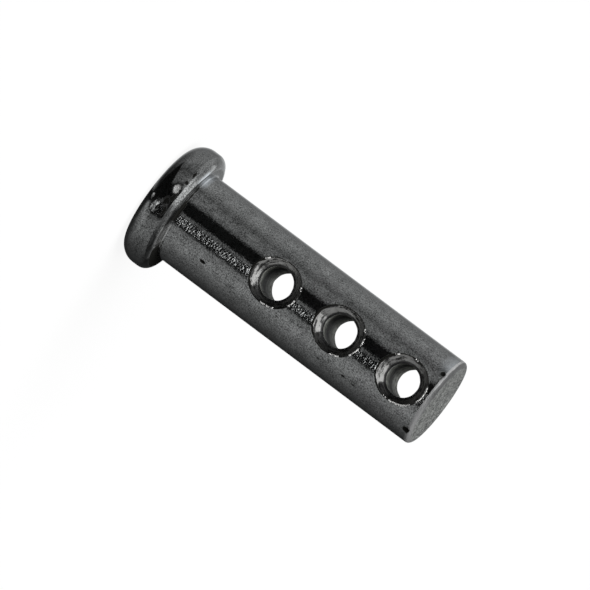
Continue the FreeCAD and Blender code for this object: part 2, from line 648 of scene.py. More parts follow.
def wall_rows():
    """Heights of the wall's rows, in stretches between and across the windows."""
    stops = [SEAT_Z + SHARP_FILLET]
    for height in HOLE_HEIGHTS:
        stops += [height - WINDOW_HALF_HEIGHT, height + WINDOW_HALF_HEIGHT]
    stops.append(END_Z - END_EDGE_ROUND - END_BAND)
    stretches = []
    for i, (start, end) in enumerate(zip(stops, stops[1:])):
        steps = 2 * WINDOW_ROWS if i % 2 else max(1, round((end - start) / ROW_HEIGHT))
        stretches.append((i % 2 == 1, np.linspace(start, end, steps + 1)))
    return stretches


def wall_patches():
    """The shaft's wall without its windows."""
    around = np.linspace(0, 2 * math.pi, COLUMNS + 1)
    half_turn, w = COLUMNS // 2, WINDOW_COLUMNS
    beside_windows = [(w, half_turn - w), (half_turn + w, COLUMNS - w)]
    patches = []
    for has_windows, heights in wall_rows():
        for first, last in beside_windows if has_windows else [(0, COLUMNS)]:
            along = around[first:last + 1] * SHAFT_RADIUS
            patches.append(("plating", on_shaft(along[None, :], heights[:, None])))
    return patches


print("the wall has", len(wall_patches()), "patches")

# %% [markdown]
# The patches go into one mesh. Points that lie on each other are merged, which closes
# the seams and the two poles, and the faces are then turned to point outwards. Each
# face keeps the zone that it came from, because the cut faces of the dishes, the
# holes and the end don't look like the rolled wall.

# %% Join the patches
ZONES = ["plating", "dish", "bore", "end"]
MERGE_WITHIN = 0.002


def add_patch(points, faces, patch):
    """Adds a grid of points and the four-sided faces between them."""
    rows, columns = patch.shape[:2]
    first = len(points)
    points.extend(map(tuple, patch.reshape(-1, 3)))
    for row in range(rows - 1):
        for column in range(columns - 1):
            a = first + row * columns + column
            faces.append((a, a + 1, a + columns + 1, a + columns))


def join_patches():
    """All the patches as one closed shell, in millimetres."""
    points, faces, zones = [], [], []
    patches = [("plating", turned(head_outline())), ("end", turned(end_outline()))] + wall_patches()
    for height, aside in zip(HOLE_HEIGHTS, HOLE_ASIDES):
        patches += hole_patches(height, aside)
    for zone, patch in patches:
        before = len(faces)
        add_patch(points, faces, patch)
        zones += [ZONES.index(zone)] * (len(faces) - before)
    mesh = bpy.data.meshes.new("pin_skin")
    mesh.from_pydata(points, [], faces)
    mesh.polygons.foreach_set("material_index", zones)
    shell = bmesh.new()
    shell.from_mesh(mesh)
    bmesh.ops.remove_doubles(shell, verts=shell.verts, dist=MERGE_WITHIN)
    bmesh.ops.recalc_face_normals(shell, faces=shell.faces)
    return mesh, shell


def odd_edges():
    """How many edges don't have two faces. A closed shell has none."""
    return sum(1 for edge in shell.edges if len(edge.link_faces) != 2)


mesh, shell = join_patches()
print("faces", len(shell.faces), "odd edges", odd_edges(), "volume", round(shell.calc_volume(), 1), "mm3")

# %% [markdown]
# ## Marks of making and of use
#
# No two real pins are alike. The drill leaves a thin ragged lip round each mouth, the
# head is a little wavy from forging, and pits and nicks sit where the pin was knocked.
# They are real relief here, pressed into the skin along its normals. Two numbers go
# with each point, for the finishes: how much dirt and painted shade darken it, and how
# far rubbed wear and painted highlights lighten it. The faces round a mark are first
# divided, so that a mark smaller than two faces still has a shape.

# %% Divide the faces round the marks
# Each mark: height and angle round the pin (from the camera's side, to the left),
# half its width round the pin and half its height, and its depth, in mm and degrees.
PITS = [
    (6.70, -31.7, 0.11, 0.24, 0.060),
    (27.74, -51.8, 0.24, 0.23, 0.110),
    (27.60, 34.4, 0.17, 0.17, 0.110),
]
# Stains; those on the head are also painted shade that darkens its reflections and glints.
STAINS_AND_PAINTED_SHADE = [
    (2.26, 34.0, 0.34, 0.11, 0.040),
    (2.20, 24.0, 0.16, 0.16, 0.040),
    (2.12, 8.0, 0.55, 0.14, 0.040),
    (2.16, -7.0, 0.40, 0.12, 0.040),
    (1.82, 1.0, 0.42, 0.22, 0.040),
    (1.47, -8.0, 0.42, 0.09, 0.030),
    (21.20, -42.5, 0.12, 0.24, 0.028),
    (22.25, -44.5, 0.09, 0.34, 0.024),
    (18.70, -43.5, 0.09, 0.24, 0.024),
    (14.13, -30.7, 0.08, 0.28, 0.020),
]
# Rubbed spots of the head; most are painted highlights that stand in for its glints and its bright oval.
RUBS_AND_GLINTS = [
    (1.12, -9.0, 0.20, 0.15, 0.022),
    (1.90, 14.8, 0.40, 0.26, 0.055),
    (0.62, -2.0, 0.28, 0.13, 0.040),
]
SMALL_MARK = 0.14                     # under this half size a mark needs finer faces
LARGE_CUTS, SMALL_CUTS = 1, 2         # across each face
MARK_REACH = 2.0                      # round a mark, in its own half sizes


def angle_round(place):
    """Radians round the pin, from the camera's side to the left."""
    return math.atan2(-place.x, -place.y)


def mark_distance(place, mark):
    """How far a place is from a mark, in the mark's own half sizes."""
    height, angle, half_round, half_up, _ = mark
    turn = angle_round(place) - math.radians(angle)
    turn = (turn + math.pi) % (2 * math.pi) - math.pi
    return math.hypot(turn * math.hypot(place.x, place.y) / half_round, (place.z - height) / half_up)


def divide_round(mark):
    """Cuts the faces round a mark into nine each, or into four round a large mark."""
    near = [face for face in shell.faces if mark_distance(face.calc_center_median(), mark) < MARK_REACH]
    edges = list({edge for face in near for edge in face.edges})
    cuts = SMALL_CUTS if min(mark[2:4]) < SMALL_MARK else LARGE_CUTS
    bmesh.ops.subdivide_edges(shell, edges=edges, cuts=cuts, use_grid_fill=True)


for mark in PITS + STAINS_AND_PAINTED_SHADE + RUBS_AND_GLINTS:
    divide_round(mark)
many_sided = [face for face in shell.faces if len(face.verts) > 4]
bmesh.ops.triangulate(shell, faces=many_sided)
print("faces after dividing", len(shell.faces), "odd edges", odd_edges())

# %% [markdown]
# Real marks have no drawn border. Three small functions let a mark fade out, and give
# its edge an uneven run: the noise is a smooth cloud of numbers that depends only on
# the place, so the same pin comes out each time.

# %% Fading and noise
MARK_RAGGED = 0.35
MARK_NOISE = 5.0                      # per mm


def fade(value, start, end):
    """0 at start, 1 at end, smooth in between."""
    share = min(1.0, max(0.0, (value - start) / (end - start)))
    return share * share * (3 - 2 * share)


def band(value, edges):
    """0 outside the first and last edge, 1 between the two in the middle."""
    return fade(value, edges[0], edges[1]) * (1 - fade(value, edges[2], edges[3]))


def cloud(place, per_mm, size=1.0):
    """Noise round 0 at a place."""
    return size * noise.noise(place * per_mm)


def pressed_in(place, marks):
    """Depth of the marks at a place."""
    depth = 0.0
    for mark in marks:
        distance = mark_distance(place, mark) * (1 + cloud(place, MARK_NOISE, MARK_RAGGED))
        if distance < MARK_REACH:
            depth += mark[4] * math.exp(-distance ** 2)
    return depth


print("the deepest pit is", max(mark[4] for mark in PITS), "mm deep")

# %% [markdown]
# The drill pushed a thin lip up round each mouth, higher on the side where it left the
# steel, and the lip's foot is darker. The cutter rolled a soft burr into the hole, and the
# dish is darker along its edge on the head's side.

# %% Marks of the mouths
LIP_HEIGHT = 0.055
LIP_WIDTH = 0.055
LIP_REACH = 6 * LIP_WIDTH
LIP_INSIDE = 0.05                     # the lip stands on the wall, no deeper than this
LIP_FOOT = 0.020                      # the lip's foot is darkest this far from the mouth
LIP_SIDE = (0.5, 0.85)                # the drill pushed the lip to the right and to the end
LIP_SIDE_EDGE = (-0.8, 1.0)           # mm that way from the hole's axis
LIP_LEVEL, LIP_SIDE_LEVEL = 0.15, 0.35
LIP_TEETH = [(2.8, 1.0), (6.5, 0.6)]  # noise per mm, and its size
LIP_FOOT_DARK_NOISE = 1.7                  # per mm
LIP_FOOT_DARK_EDGE = (-0.6, -0.1)
LIP_FOOT_DARK_LESS = 0.3                   # on the lip's side
RIM_DARKENING = (0.05, 0.13)              # mm inside the dish's outline: the darkening is full, and ends
RIM_SIDE = (0.55, 0.80)
RIM_NOISE, RIM_RAGGED = 2.5, 0.06
BORE_BURR = 0.075
BORE_BURR_WIDTH = 0.30
BORE_BURR_NOISE, BORE_BURR_RAGGED = 2.2, 0.4

mouth_rim = on_shaft(mouth_points[:-1, 0], mouth_points[:-1, 1])
rim_angles = np.arctan2(mouth_rim[:, 2], mouth_rim[:, 0])
rim_order = np.argsort(rim_angles)
RIM_ANGLES = rim_angles[rim_order]
RIM_REACHES = np.hypot(mouth_rim[:, 0], mouth_rim[:, 2])[rim_order]


def from_mouth(place):
    """Across and up from the nearest hole's axis, and the distance from its ball: 0 on the outline."""
    height, aside = min(zip(HOLE_HEIGHTS, HOLE_ASIDES), key=lambda hole: abs(place.z - hole[0]))
    x, z = place.x - aside, place.z - height
    return x, z, math.hypot(x, MOUTH_BALL_OFFSET - abs(place.y), z) - MOUTH_BALL_RADIUS


def lip_relief(place):
    """Height of the ragged lip round the mouths, and the darkening at its foot."""
    x, z, distance = from_mouth(place)
    if abs(distance) > LIP_REACH or math.hypot(place.x, place.y) < SHAFT_RADIUS - LIP_INSIDE:
        return 0.0, 0.0
    side = fade(x * LIP_SIDE[0] + z * LIP_SIDE[1], *LIP_SIDE_EDGE)
    teeth = LIP_LEVEL + LIP_SIDE_LEVEL * side + sum(cloud(place, *tooth) for tooth in LIP_TEETH)
    crest = math.exp(-(distance / LIP_WIDTH) ** 2)
    foot = math.exp(-((distance - LIP_FOOT) / LIP_WIDTH) ** 2)
    dirt = foot * (1 - LIP_FOOT_DARK_LESS * side) * fade(cloud(place, LIP_FOOT_DARK_NOISE), *LIP_FOOT_DARK_EDGE)
    return LIP_HEIGHT * max(0.0, teeth) * crest, dirt


def rim_darkening(place):
    """Darkening along the edge of a dish, on the head's side of the mouth."""
    x, z, _ = from_mouth(place)
    out = math.hypot(x, z)
    inward = np.interp(math.atan2(z, x), RIM_ANGLES, RIM_REACHES) - out
    return fade(-z / out, *RIM_SIDE) * (1 - fade(inward + cloud(place, RIM_NOISE, RIM_RAGGED), *RIM_DARKENING))


def bore_burr(place):
    """Height of the burr that the cutter rolled into the hole, at each end of the hole's wall."""
    past_end = abs(place.y) - BORE_END
    ragged = 1 + cloud(place, BORE_BURR_NOISE, BORE_BURR_RAGGED)
    return BORE_BURR * ragged * math.exp(-(past_end / BORE_BURR_WIDTH) ** 2)


print("a mouth reaches", RIM_REACHES.min().round(2), "to", RIM_REACHES.max().round(2), "mm from its axis")

# %% [markdown]
# In the neck, painted shade darkens the corner in front and the seat on its right, and
# a painted highlight lightens the fillet and the seat beside that.

# %% Marks of the neck
# The painted shade, its fainter band, the painted highlights and the seat's painted shade fade in and out at
# these degrees round the pin.
NECK_PAINTED_SHADE = (-16, -12, 11, 15)
NECK_FAINT_SHADE = (11, 15, 35, 41)
NECK_HIGHLIGHT_BAND = (-56, -50, -20, -14)
SEAT_HIGHLIGHT_BAND = (-50, -44, -20, -14)
SEAT_PAINTED_SHADE = (-150, -120, -62, -32)
NECK_RAGGED = 8.0                     # degrees, how uneven their ends are
NECK_END_NOISE = 2.0                  # per mm
NECK_REACH = (0.58, 0.68)             # mm from the corner: the painted shade is full, and ends
FAINT_SHADE_REACH = (0.29, 0.39)
NECK_LOW = 6                          # the painted shade reaches up the wall this many times less
NECK_NOISE, NECK_UNEVEN = 2.5, 0.10
NECK_FAINT_SHADE_LEVEL = 0.9
NECK_HIGHLIGHT_LEVEL = 0.43
NECK_TOP = SEAT_Z + SHARP_FILLET
HIGHLIGHT_TOP = (NECK_TOP, NECK_TOP + 0.08)
HIGHLIGHT_FOOT = (SEAT_Z, SEAT_Z + 0.06)
SEAT_HIGHLIGHT_FOOT = (SEAT_Z - 0.25, SEAT_Z - 0.125)
SEAT_PAINTED_SHADE_UP = (SEAT_Z - 0.08, SEAT_Z - 0.02, SEAT_Z + 0.02, SEAT_Z + 0.2)


def ragged_degrees(place):
    """Degrees round the pin, made uneven."""
    return math.degrees(angle_round(place)) + cloud(place, NECK_END_NOISE, NECK_RAGGED)


def neck_painted_shade(place):
    """Painted shade in the corner between the shaft and the seat, and on the seat's right."""
    up = place.z - SEAT_Z
    out = math.hypot(place.x, place.y) - SHAFT_RADIUS
    from_corner = math.hypot(out, NECK_LOW * up if up > 0 else up) + cloud(place, NECK_NOISE, NECK_UNEVEN)
    degrees = ragged_degrees(place)
    # painted shade: full in the corner, fainter beside it, and on the seat
    full = (1 - fade(from_corner, *NECK_REACH)) * band(degrees, NECK_PAINTED_SHADE)
    faint_shade = (1 - fade(from_corner, *FAINT_SHADE_REACH)) * band(degrees, NECK_FAINT_SHADE)
    darkening = band(place.z, SEAT_PAINTED_SHADE_UP) * band(degrees, SEAT_PAINTED_SHADE)
    return max(full, NECK_FAINT_SHADE_LEVEL * faint_shade, darkening)


def neck_painted_highlight(place):
    """How much painted highlight lies on the fillet and the seat, on the camera's right."""
    degrees = ragged_degrees(place)
    # painted highlight on the fillet and on the seat
    fillet = fade(place.z, *HIGHLIGHT_FOOT) * band(degrees, NECK_HIGHLIGHT_BAND)
    seat = fade(place.z, *SEAT_HIGHLIGHT_FOOT) * band(degrees, SEAT_HIGHLIGHT_BAND)
    return NECK_HIGHLIGHT_LEVEL * (1 - fade(place.z, *HIGHLIGHT_TOP)) * max(fillet, seat)


in_corner = Vector((0, -SHAFT_RADIUS, SEAT_Z))
print("dirt in the front of the neck", round(neck_painted_shade(in_corner), 2), "rub", round(neck_painted_highlight(in_corner), 2))

# %% [markdown]
# One function gives the relief at a place. Its parts fade out before they meet, and
# those on the head only go inwards, so that the pin keeps its size.

# %% Press in the relief
FULL_MARK_DEPTH = 0.04                    # a mark this deep shows fully: pits full of dirt, stains and painted shade, rubs and painted highlights
HEAD_WAVE = 0.022                     # depth of the forged head's waves
HEAD_WAVES, HEAD_RIPPLES = 0.9, 3.1   # per mm
RIPPLE_SHARE = 0.2
HEAD_WAVES_UP = (0.1, 0.6, SEAT_Z - 0.1, SEAT_Z)
DISH_WAVE, DISH_WAVES = 0.060, 1.9    # depth, and number per mm
END_WAVE, END_WAVES = 0.006, 1.1
NICK_DEPTH = 0.03
NICKS_PER_MM = 2.0
NICK_EDGE = (0.3, 0.6)                # of the noise: a nick begins, and is full
NICK_DIRT = 0.3
NICK_Z = END_Z - END_EDGE_ROUND - 0.12            # the line that the nicks follow
NICK_REACH = (0.08, 0.25)
LIPS_FROM = SEAT_Z + 2                # there are no lips below this height
NECK_ENDS = SEAT_Z + 1                # and no marks of the neck above this


def waves(place, per_mm):
    """Waves between 0 and 1."""
    return 0.5 + cloud(place, per_mm, 0.5)


def nicks(place):
    """1 in a nick under the end's edge, 0 elsewhere."""
    from_line = math.hypot(math.hypot(place.x, place.y) - SHAFT_RADIUS, place.z - NICK_Z)
    return fade(cloud(place, NICKS_PER_MM), *NICK_EDGE) * (1 - fade(from_line, *NICK_REACH))


def relief(place, zones):
    """Height along the normal, height outwards, dirt and painted shade, and rub and painted highlight of the
    skin at a place.
    """
    pit_depth, rub_and_highlight_depth, darkening = (pressed_in(place, marks) for marks in (PITS, RUBS_AND_GLINTS, STAINS_AND_PAINTED_SHADE))
    nick = nicks(place)
    head_wave = waves(place, HEAD_WAVES) + cloud(place, HEAD_RIPPLES, RIPPLE_SHARE)
    height = -HEAD_WAVE * max(0.0, head_wave) * band(place.z, HEAD_WAVES_UP)
    height -= pit_depth + rub_and_highlight_depth + NICK_DEPTH * nick
    dirt = max(min(1.0, (pit_depth + darkening) / FULL_MARK_DEPTH), NICK_DIRT * nick)
    rub = min(1.0, rub_and_highlight_depth / FULL_MARK_DEPTH)
    lip = 0.0
    if zones <= {"plating", "dish"} and place.z > LIPS_FROM:
        lip, lip_foot_dark = lip_relief(place)
        dirt = max(dirt, lip_foot_dark)
    if place.z < NECK_ENDS:
        dirt = max(dirt, neck_painted_shade(place))
        rub = max(rub, neck_painted_highlight(place))
    if "dish" in zones:
        dirt = max(dirt, rim_darkening(place))
    if "bore" in zones:
        height += bore_burr(place)
    if zones == {"dish"}:
        height -= DISH_WAVE * waves(place, DISH_WAVES)
    if zones == {"end"}:
        height -= END_WAVE * waves(place, END_WAVES)
    return height, lip, dirt, rub


def press_relief():
    """Moves every point of the shell by its relief and stores its dirt and painted shade, and its rub and
    painted highlight.
    """
    dirt_and_shade_layer = shell.verts.layers.float.new("dirt")
    rub_and_highlight_layer = shell.verts.layers.float.new("rub")
    shell.normal_update()
    moves = []
    for vert in shell.verts:
        zones = {ZONES[face.material_index] for face in vert.link_faces}
        height, lip, vert[dirt_and_shade_layer], vert[rub_and_highlight_layer] = relief(vert.co.copy(), zones)
        outwards = Vector((vert.co.x, vert.co.y, 0)).normalized()
        moves.append(vert.normal * height + outwards * lip)
    for vert, move in zip(shell.verts, moves):
        vert.co += move


press_relief()
bmesh.ops.scale(shell, vec=(MM, MM, MM), verts=shell.verts)
shell.to_mesh(mesh)
shell.free()
skin = bpy.data.objects.new("pin_skin", mesh)
bpy.context.scene.collection.objects.link(skin)
print("skin has", sum(len(polygon.vertices) - 2 for polygon in mesh.polygons), "triangles")

# %% [markdown]
# The skin is shaded smooth, and the edges where a dish meets the shaft or the hole stay
# sharp, because their angle is steep.

# %% Shade the skin
SHARP_ANGLE = math.radians(24)

for polygon in skin.data.polygons:
    polygon.use_smooth = True
skin.data.set_sharp_from_angle(angle=SHARP_ANGLE)
sharp = sum(value.value for value in skin.data.attributes["sharp_edge"].data)
print("sharp edges", sharp, "of", len(skin.data.edges))

# %% [markdown]
# ## The plating
#
# The steel carries a thin dark coat of zinc. It mirrors almost sharply, and under a
# lens it is a fine grain with clouds of slightly lighter and darker tone. The bar was
# turned, so its tiny grooves run round it: they tilt the mirror up and down much more
# than sideways. That is why the edges of the stripes stay straight, while the small
# lights in the slit break up into glints. A few helpers serve all the finishes. The
# last one lays matt dirt and painted shade, and rubbed spots and painted highlights,
# over a colour, where the skin has them.

# %% Helpers of the finishes
DIRT_AND_SHADE_TONE = (0.012, 0.012, 0.011)
DIRT_AND_SHADE_SHOWS = (0.15, 0.60)             # from hardly to fully covered
RUB_AND_HIGHLIGHT_TONE = (0.62, 0.62, 0.61)
RUB_AND_HIGHLIGHT_METALLIC = 0.6
RUB_AND_HIGHLIGHT_SHOWS = (0.30, 0.70)
BLACK = (0.0, 0.0, 0.0)
USUAL_NOISE = (0.3, 0.7)              # nearly all of a noise lies between these


def start_material(name):
    """A new material, its tree, its shader, and its place coordinates in mm."""
    material = bpy.data.materials.new(name)
    material.use_nodes = True
    tree = material.node_tree
    tree.nodes.clear()
    place = add_node(tree, "ShaderNodeTexCoord").outputs["Object"]
    in_mm = result(tree, "ShaderNodeMapping", {"Vector": place, "Scale": (1 / MM,) * 3})
    shader = add_node(tree, "ShaderNodeBsdfPrincipled", {"Metallic": 1.0})
    add_node(tree, "ShaderNodeOutputMaterial", {"Surface": shader.outputs[0]})
    return material, tree, shader, in_mm


def noise_at(tree, vector, scale, detail=3.0, rough=0.6, stretch=None):
    """Noise per mm, between 0 and 1, drawn out where a stretch is given."""
    if stretch:
        vector = result(tree, "ShaderNodeMapping", {"Vector": vector, "Scale": stretch})
    return result(tree, "ShaderNodeTexNoise", {
        "Vector": vector, "Scale": scale, "Detail": detail, "Roughness": rough})


def wobble(tree, value, noise_value, size):
    """The value moved up and down by a noise, by the size in all."""
    return maths(tree, "ADD", value, maths(tree, "MULTIPLY_ADD", noise_value, size, -size / 2))


def plane_vector(tree, x, z):
    """The length and the direction of a vector of two lengths."""
    flat = result(tree, "ShaderNodeCombineXYZ", {"X": x, "Z": z})
    length = add_node(tree, "ShaderNodeVectorMath", {0: flat}, operation="LENGTH").outputs["Value"]
    return length, result(tree, "ShaderNodeVectorMath", {0: flat}, operation="NORMALIZE")


def attribute(tree, name):
    """A number that the skin's points carry."""
    return add_node(tree, "ShaderNodeAttribute", attribute_name=name).outputs["Fac"]


def bump_and_roughness(tree, shader, roughness, height, depth, strength=1.0):
    """Gives the shader its roughness and a bump, whose depth is in mm."""
    bump = add_node(tree, "ShaderNodeBump", {"Strength": strength, "Distance": depth * MM, "Height": height})
    set_inputs(tree, shader, {"Roughness": roughness, "Normal": bump.outputs[0]})


def mark_it(tree, shader, colour, metallic, specular):
    """Gives the shader its colour, with matt dirt and painted shade, and rubbed spots and painted
    highlights, over it.
    """
    dirt_and_shade_share = remap(tree, attribute(tree, "dirt"), DIRT_AND_SHADE_SHOWS)
    rub_and_highlight_share = remap(tree, attribute(tree, "rub"), RUB_AND_HIGHLIGHT_SHOWS)
    colour = blend_colours(tree, dirt_and_shade_share, colour, DIRT_AND_SHADE_TONE)
    set_inputs(tree, shader, {
        # rubbed spots and painted highlights lighten the colour here
        "Base Color": blend_colours(tree, rub_and_highlight_share, colour, RUB_AND_HIGHLIGHT_TONE),
        "Metallic": mix_tones(tree, dirt_and_shade_share, mix_tones(tree, rub_and_highlight_share, metallic, RUB_AND_HIGHLIGHT_METALLIC), 0.0),
        "Specular IOR Level": mix_tones(tree, dirt_and_shade_share, specular, 0.0)})


# %% [markdown]
# The three holes are one pitch apart, so wrapping the height gives each its own centre,
# and the hole's number says which one it is. The mouth's outline lies where the wall
# meets the dishing ball, and a thin dark line follows it.

# %% Places on the pin
HOLE_PITCH = HOLE_HEIGHTS[1] - HOLE_HEIGHTS[0]
FIRST_HALF_PITCH = HOLE_HEIGHTS[0] - HOLE_PITCH / 2
MOUTH_LINE_WIDTH = (0.085, 0.0425)    # mm from the outline: the line ends, and is full
MOUTH_LINE_NOISE, MOUTH_LINE_RAGGED = 2.5, 0.16
PAINTED_GLOW_SHARE = 0.62
PAINTED_GLOW_UP = (26.7, 27.9)               # mm: the painted glow under the end starts and is full here
PAINTED_GLOW_ACROSS = (-2.9, -2.1)           # mm across the pin: full to the left of the first
PAINTED_GLOW_AHEAD = (-0.8, -0.4)            # mm: only on the camera's side
PAINTED_GLOW_RAGGED = 1.2
SEAT_GLOW_UP = (2.72, 2.86, 3.10, 3.35)          # mm: the painted glow on the seat fades in and out here
SEAT_GLOW_ACROSS = (-4.2, -3.7, -3.0, -2.5)


def round_the_hole(tree, in_mm):
    """Direction round the nearest hole's axis, distance from it, the hole's number, and y."""
    x, y, z = split(tree, in_mm)
    wrapped = maths(tree, "WRAP", z, FIRST_HALF_PITCH + HOLE_PITCH, FIRST_HALF_PITCH)
    passed = maths(tree, "DIVIDE", maths(tree, "SUBTRACT", z, FIRST_HALF_PITCH), HOLE_PITCH)
    number = maths(tree, "FLOOR", passed)
    aside = HOLE_ASIDES[0]
    for hole in (1, 2):
        reached = maths(tree, "GREATER_THAN", number, hole - 0.5)
        aside = maths(tree, "MULTIPLY_ADD", reached, HOLE_ASIDES[hole] - HOLE_ASIDES[hole - 1], aside)
    distance, facing = plane_vector(tree, maths(tree, "SUBTRACT", x, aside),
                                    maths(tree, "SUBTRACT", wrapped, HOLE_HEIGHTS[0]))
    return facing, distance, number, y


def mouth_line(tree, in_mm):
    """1 on a thin line along the mouths' outlines, 0 elsewhere."""
    _, distance, number, y = round_the_hole(tree, in_mm)
    deep = maths(tree, "SUBTRACT", MOUTH_BALL_OFFSET, maths(tree, "ABSOLUTE", y))
    past = maths(tree, "SUBTRACT", plane_vector(tree, distance, deep)[0], MOUTH_BALL_RADIUS)
    past = wobble(tree, past, noise_at(tree, in_mm, MOUTH_LINE_NOISE), MOUTH_LINE_RAGGED)
    by_a_hole = maths(tree, "GREATER_THAN", number, -0.5)     # no holes nearer the head
    return times(tree, by_a_hole, between(tree, past, MOUTH_LINE_WIDTH))


def painted_glow(tree, in_mm, clouds):
    """Share of the painted glow under the end and on the seat, on the camera's left."""
    x, y, z = split(tree, in_mm)
    under_end = times(tree, remap(tree, wobble(tree, z, clouds, PAINTED_GLOW_RAGGED), PAINTED_GLOW_UP),
                      remap(tree, wobble(tree, x, clouds, PAINTED_GLOW_RAGGED), PAINTED_GLOW_ACROSS, (1, 0)))
    on_seat = times(tree, remap(tree, z, SEAT_GLOW_UP[:2]), remap(tree, z, SEAT_GLOW_UP[2:], (1, 0)),
                    remap(tree, x, SEAT_GLOW_ACROSS[:2]), remap(tree, x, SEAT_GLOW_ACROSS[2:], (1, 0)))
    either = maths(tree, "MAXIMUM", under_end, on_seat)
    return times(tree, PAINTED_GLOW_SHARE, either, remap(tree, y, PAINTED_GLOW_AHEAD, (1, 0)))


print("holes are", round(HOLE_PITCH, 2), "mm apart")

# %% [markdown]
# The plating's own tone comes from two noises, a fine one and a cloudy one. Over it lie
# the upright smudges, the painted glows of light, the dark line round the mouths, and last
# the dirt and painted shade, and the rubbed spots and painted highlights. The head's coat
# is darker, and less grooved.

# %% The dark zinc
ZINC_TONES = [(0.36, (0.010, 0.010, 0.010)), (0.64, (0.250, 0.252, 0.249))]
ZINC_ROUGHNESS = (0.04, 0.09)
CLOUDS_PER_MM = 0.9
GRAIN_PER_MM = 9.5
GRAIN_SHARE = 0.8
SMUDGES = (2.6, 2.6, 0.9)             # per mm, across and along the pin
SMUDGES_SHOW = (0.60, 0.72)
SMUDGE_SHARE = 0.5
SMUDGE_TONE = (0.060, 0.060, 0.059)
PAINTED_GLOW_TONE = (0.41, 0.43, 0.45)
MOUTH_LINE_SHARE = 0.85
HEAD_COLOUR_LESS = 0.25
HEAD_GROOVES = 0.35
HEAD_COAT_EDGE = (SEAT_Z - 0.3, SEAT_Z + 0.1)
GROOVES = (4.0, 4.0, 7.0)             # per mm, across and along the pin
GROOVE_DEPTH = 0.011                  # mm
RUB_AND_HIGHLIGHT_ROUGHNESS = 0.45


def plating_material():
    """Dark satin zinc: mottled tone, fine grain, and grooves that run round the bar."""
    material, tree, shader, in_mm = start_material("dark_zinc")
    clouds = noise_at(tree, in_mm, CLOUDS_PER_MM, detail=5.0)
    grain = noise_at(tree, in_mm, GRAIN_PER_MM, detail=2.0, rough=0.9)
    colour = ramp(tree, mix_tones(tree, GRAIN_SHARE, clouds, grain), ZINC_TONES)
    smudges = noise_at(tree, in_mm, 1.0, detail=4.0, stretch=SMUDGES)
    colour = blend_colours(tree, remap(tree, smudges, SMUDGES_SHOW, (0, SMUDGE_SHARE)), colour, SMUDGE_TONE)
    on_shaft_share = remap(tree, split(tree, in_mm)[2], HEAD_COAT_EDGE)
    colour = blend_colours(tree, mix_tones(tree, on_shaft_share, HEAD_COLOUR_LESS, 0.0), colour, BLACK)
    # a light cool tone painted where light glows on the end and on the seat
    colour = blend_colours(tree, painted_glow(tree, in_mm, clouds), colour, PAINTED_GLOW_TONE)
    colour = blend_colours(tree, times(tree, mouth_line(tree, in_mm), MOUTH_LINE_SHARE), colour, DIRT_AND_SHADE_TONE)
    mark_it(tree, shader, colour, 1.0, 0.5)
    roughness = remap(tree, clouds, USUAL_NOISE, ZINC_ROUGHNESS)
    grooves = noise_at(tree, in_mm, 1.0, detail=2.0, stretch=GROOVES)
    bump_and_roughness(tree, shader, mix_tones(tree, attribute(tree, "rub"), roughness, RUB_AND_HIGHLIGHT_ROUGHNESS),
                       grooves, GROOVE_DEPTH, mix_tones(tree, on_shaft_share, HEAD_GROOVES, 1.0))
    return material


skin.data.materials.append(plating_material())
print("zinc grain", GRAIN_PER_MM, "per mm")

# %% [markdown]
# ## The dishes
#
# A cutter dished each mouth, and left rings of fine scratches round the hole. The cut
# metal is lighter and rougher than the rolled wall. Round the hole its tone carries painted
# light and shade for the light that the cutter's facets catch, and a dark step runs near
# the hole.

# %% The cut dishes
CUT_TONES = [(0.45, (0.13, 0.13, 0.13)), (0.50, (1.00, 1.00, 0.98))]
# Each pair is a direction round the hole, in degrees from the tip's side over the left
# side, and the painted light and shade of the cut metal there.
CUT_PAINTED_LIGHT = [
    (-180, 0.42), (-160, 0.47), (-141, 0.47), (-138, 0.05), (-105, 0.02), (-60, 0.03), (-35, 0.11),
    (-10, 0.20), (20, 0.24), (55, 0.34), (78, 0.66), (100, 0.54), (122, 0.32), (150, 0.23),
    (170, 0.15), (172, 0.42), (180, 0.42),
]
CUT_WARP_NOISE = 1.4
CUT_WARP = 0.11                       # of a turn: how ragged the borders between the tones are
CUT_METALLIC = 0.12
CUT_SPECULAR = 0.15
CUT_ROUGHNESS = (0.22, 0.40)
CUT_STEP = (HOLE_RADIUS + 0.09, HOLE_RADIUS + 0.17)
CUT_STEP_TONE = (0.12, 0.12, 0.12)
PATCHES_PER_MM = 2.6
PATCH_SHARE = 0.35
SCRATCHES_PER_MM = 5.5
SCRATCHES_ROUND = 1.2                 # in the width of the hole
SCRATCH_DEPTH = 0.014
NEXT_HOLE = 7.3                       # moves the noise on, so no two holes have the same rings


def ring_noise(tree, facing, distance, number):
    """Noise drawn out into rings round the hole."""
    fx, _, fz = split(tree, facing)
    vector = result(tree, "ShaderNodeCombineXYZ", {
        "X": times(tree, fx, SCRATCHES_ROUND), "Y": times(tree, distance, SCRATCHES_PER_MM),
        "Z": maths(tree, "MULTIPLY_ADD", fz, SCRATCHES_ROUND, times(tree, number, NEXT_HOLE))})
    return noise_at(tree, vector, 1.0, detail=4.0, rough=0.7)


